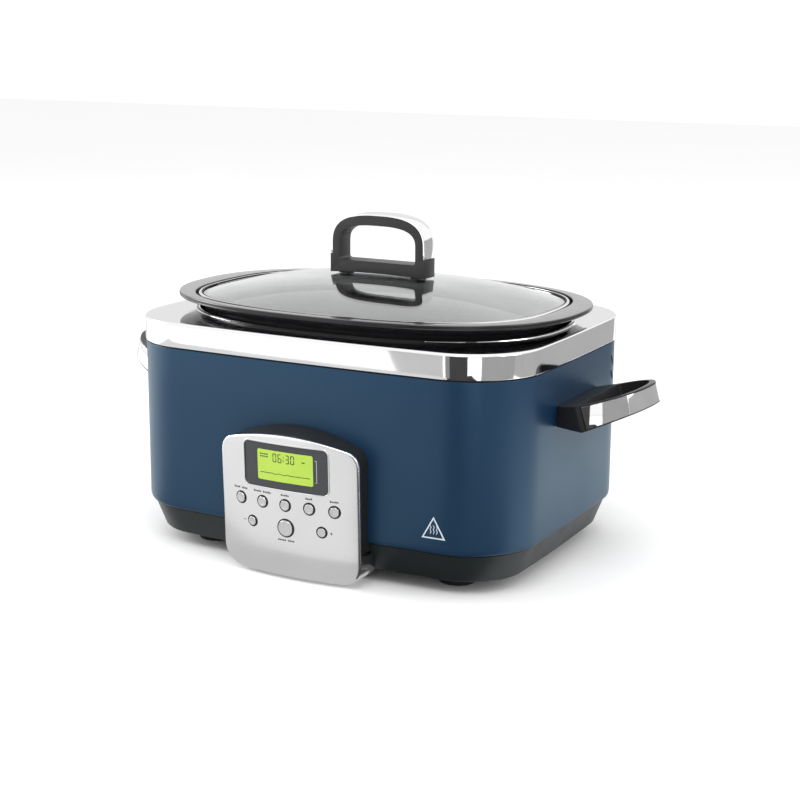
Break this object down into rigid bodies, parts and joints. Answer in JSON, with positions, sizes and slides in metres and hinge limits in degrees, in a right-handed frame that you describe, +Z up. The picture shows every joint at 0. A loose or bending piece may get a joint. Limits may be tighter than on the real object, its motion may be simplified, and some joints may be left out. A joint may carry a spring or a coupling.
{
  "type": "slow cooker",
  "caption": "Oval slow cooker with painted body, bright deck, lift-out pot, domed glass lid with arched handle, side handles and a front control panel with buttons and display.",
  "frame": {"origin": "on the table under the middle of the overall length and depth, handles and control panel included", "axes": "+Z up; +X along the length towards the right handle as the user faces the control panel; -Y is the front with the control panel"},
  "size_m": [0.4852, 0.2878, 0.2735],
  "materials": {
    "blue_paint": "satin",
    "chrome": "polished",
    "steel": "satin",
    "aluminium": "satin",
    "grey_plastic": "matte",
    "black_plastic": "satin",
    "nonstick_coating": "satin",
    "rubber": "matte",
    "glass": "clear",
    "dark_window": "gloss",
    "lcd": "backlit",
    "circuit_board": "matte",
    "insulation": "woolly"
  },
  "bodies": {
    "cooker": {"outer_shell": "blue_paint", "top_deck": "chrome", "base_housing": "grey_plastic", "cord_gland": "black_plastic", "foot_front_left": "rubber", "foot_front_right": "rubber", "foot_rear_left": "rubber", "foot_rear_right": "rubber", "foot_screw_front_left": "steel", "foot_screw_front_right": "steel", "foot_screw_rear_left": "steel", "foot_screw_rear_right": "steel", "inner_well": "aluminium", "heating_plate": "aluminium", "heating_element": "steel", "heat_reflector": "aluminium", "insulation_wrap": "insulation", "sensor_holder": "steel", "sensor_spring": "steel", "thermal_cutout": "black_plastic", "left_handle": "black_plastic", "left_handle_trim": "chrome", "left_handle_plate": "steel", "left_handle_screw_front": "steel", "left_handle_screw_rear": "steel", "right_handle": "black_plastic", "right_handle_trim": "chrome", "right_handle_plate": "steel", "right_handle_screw_front": "steel", "right_handle_screw_rear": "steel", "panel_fascia": "chrome", "panel_housing": "black_plastic", "display_window": "dark_window", "lcd_module": "lcd", "control_board": "circuit_board", "control_harness": "rubber", "power_board": "circuit_board", "element_lead_left": "rubber", "element_lead_right": "rubber"},
    "pot": {"pot": "nonstick_coating"},
    "lid": {"lid_rim": "chrome", "lid_glass": "glass", "knob_core": "black_plastic", "knob_cap": "chrome", "knob_screw_left": "steel", "knob_screw_right": "steel"},
    "sensor": {"sensor_plunger": "aluminium"},
    "preset_button_1": {"preset_button_1": "chrome"},
    "preset_button_2": {"preset_button_2": "chrome"},
    "preset_button_3": {"preset_button_3": "chrome"},
    "preset_button_4": {"preset_button_4": "chrome"},
    "preset_button_5": {"preset_button_5": "chrome"},
    "minus_button": {"minus_button": "chrome"},
    "plus_button": {"plus_button": "chrome"},
    "start_stop_button": {"start_stop_button": "chrome"}
  },
  "joints": [
    {"name": "pot_lift", "type": "slide", "parent": "cooker", "child": "pot", "axis": [0, 0, 1], "range_m": [0, 0.16]},
    {"name": "lid_lift", "type": "slide", "parent": "pot", "child": "lid", "axis": [0, 0, 1], "range_m": [0, 0.12]},
    {"name": "sensor_press", "type": "slide", "parent": "cooker", "child": "sensor", "axis": [0, 0, -1], "range_m": [0, 0.0015], "stiffness_N_per_m": 500, "springref_m": -0.002, "deforming": ["sensor_spring"]},
    {"name": "preset_button_1_press", "type": "slide", "parent": "cooker", "child": "preset_button_1", "axis": [0.1465, 0.9886, 0.0349], "range_m": [0, 0.001], "stiffness_N_per_m": 500, "springref_m": -0.001},
    {"name": "preset_button_2_press", "type": "slide", "parent": "cooker", "child": "preset_button_2", "axis": [0.0732, 0.9967, 0.0349], "range_m": [0, 0.001], "stiffness_N_per_m": 500, "springref_m": -0.001},
    {"name": "preset_button_3_press", "type": "slide", "parent": "cooker", "child": "preset_button_3", "axis": [0, 0.9994, 0.0349], "range_m": [0, 0.001], "stiffness_N_per_m": 500, "springref_m": -0.001},
    {"name": "preset_button_4_press", "type": "slide", "parent": "cooker", "child": "preset_button_4", "axis": [-0.0732, 0.9967, 0.0349], "range_m": [0, 0.001], "stiffness_N_per_m": 500, "springref_m": -0.001},
    {"name": "preset_button_5_press", "type": "slide", "parent": "cooker", "child": "preset_button_5", "axis": [-0.1465, 0.9886, 0.0349], "range_m": [0, 0.001], "stiffness_N_per_m": 500, "springref_m": -0.001},
    {"name": "minus_button_press", "type": "slide", "parent": "cooker", "child": "minus_button", "axis": [0.1089, 0.9934, 0.0349], "range_m": [0, 0.001], "stiffness_N_per_m": 500, "springref_m": -0.001},
    {"name": "plus_button_press", "type": "slide", "parent": "cooker", "child": "plus_button", "axis": [-0.1089, 0.9934, 0.0349], "range_m": [0, 0.001], "stiffness_N_per_m": 500, "springref_m": -0.001},
    {"name": "start_stop_button_press", "type": "slide", "parent": "cooker", "child": "start_stop_button", "axis": [0, 0.9994, 0.0349], "range_m": [0, 0.001], "stiffness_N_per_m": 500, "springref_m": -0.001}
  ]
}
